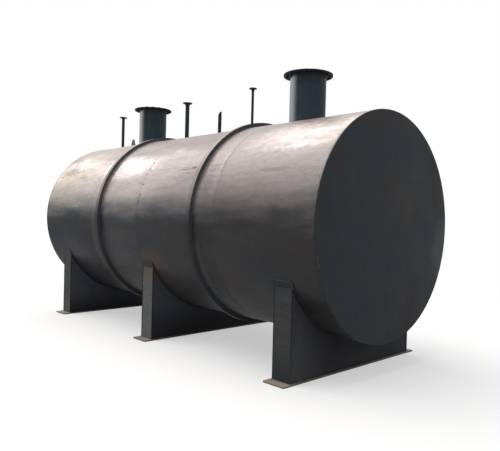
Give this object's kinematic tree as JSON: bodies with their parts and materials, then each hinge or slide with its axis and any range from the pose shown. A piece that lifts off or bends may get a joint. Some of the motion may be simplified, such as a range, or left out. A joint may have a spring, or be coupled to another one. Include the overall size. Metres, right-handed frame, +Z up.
{
  "type": "horizontal cylindrical storage tank on box saddles",
  "caption": "Long horizontal steel storage tank with flat ends, girth stiffening rings, box saddles, bolted manways, flanged pipes, a vent and a lifting lug on its crown.",
  "frame": {"origin": "On the ground, below the middle of the tank: the centre of its length and width at the underside of the base plates.", "axes": "+X runs along the tank to the end that faces the viewer, +Z is up, and Y runs across the tank."},
  "size_m": [5.63, 2.4996, 3.2766],
  "materials": {
    "shell_paint": "weathered semi-gloss dark grey paint",
    "end_paint": "dark charcoal paint, lightly scuffed",
    "saddle_paint": "dark grey paint with weld marks",
    "base_steel": "dusty paint",
    "fitting_paint": "near-black paint",
    "gasket_rubber": "plain black"
  },
  "bodies": {
    "root": {"shell_course_1": "shell_paint", "shell_course_2": "shell_paint", "shell_course_3": "shell_paint", "shell_course_4": "shell_paint", "near_end_plate": "end_paint", "far_end_plate": "end_paint", "near_stiffening_ring": "shell_paint", "far_stiffening_ring": "shell_paint", "near_saddle_wear_pad": "saddle_paint", "near_saddle_webs": "saddle_paint", "near_saddle_end_plates": "saddle_paint", "near_saddle_base_plate": "base_steel", "middle_saddle_wear_pad": "saddle_paint", "middle_saddle_webs": "saddle_paint", "middle_saddle_end_plates": "saddle_paint", "middle_saddle_base_plate": "base_steel", "far_saddle_wear_pad": "saddle_paint", "far_saddle_webs": "saddle_paint", "far_saddle_end_plates": "saddle_paint", "far_saddle_base_plate": "base_steel", "near_manway_neck": "fitting_paint", "near_manway_flange": "fitting_paint", "near_manway_gasket": "gasket_rubber", "near_manway_cover": "fitting_paint", "far_manway_neck": "fitting_paint", "far_manway_flange": "fitting_paint", "far_manway_gasket": "gasket_rubber", "far_manway_cover": "fitting_paint", "near_pipe": "fitting_paint", "near_pipe_flange": "fitting_paint", "middle_pipe": "fitting_paint", "middle_pipe_flange": "fitting_paint", "far_pipe": "fitting_paint", "far_pipe_flange": "fitting_paint", "vent_pipe": "fitting_paint", "lifting_lug": "fitting_paint"}
  },
  "joints": []
}
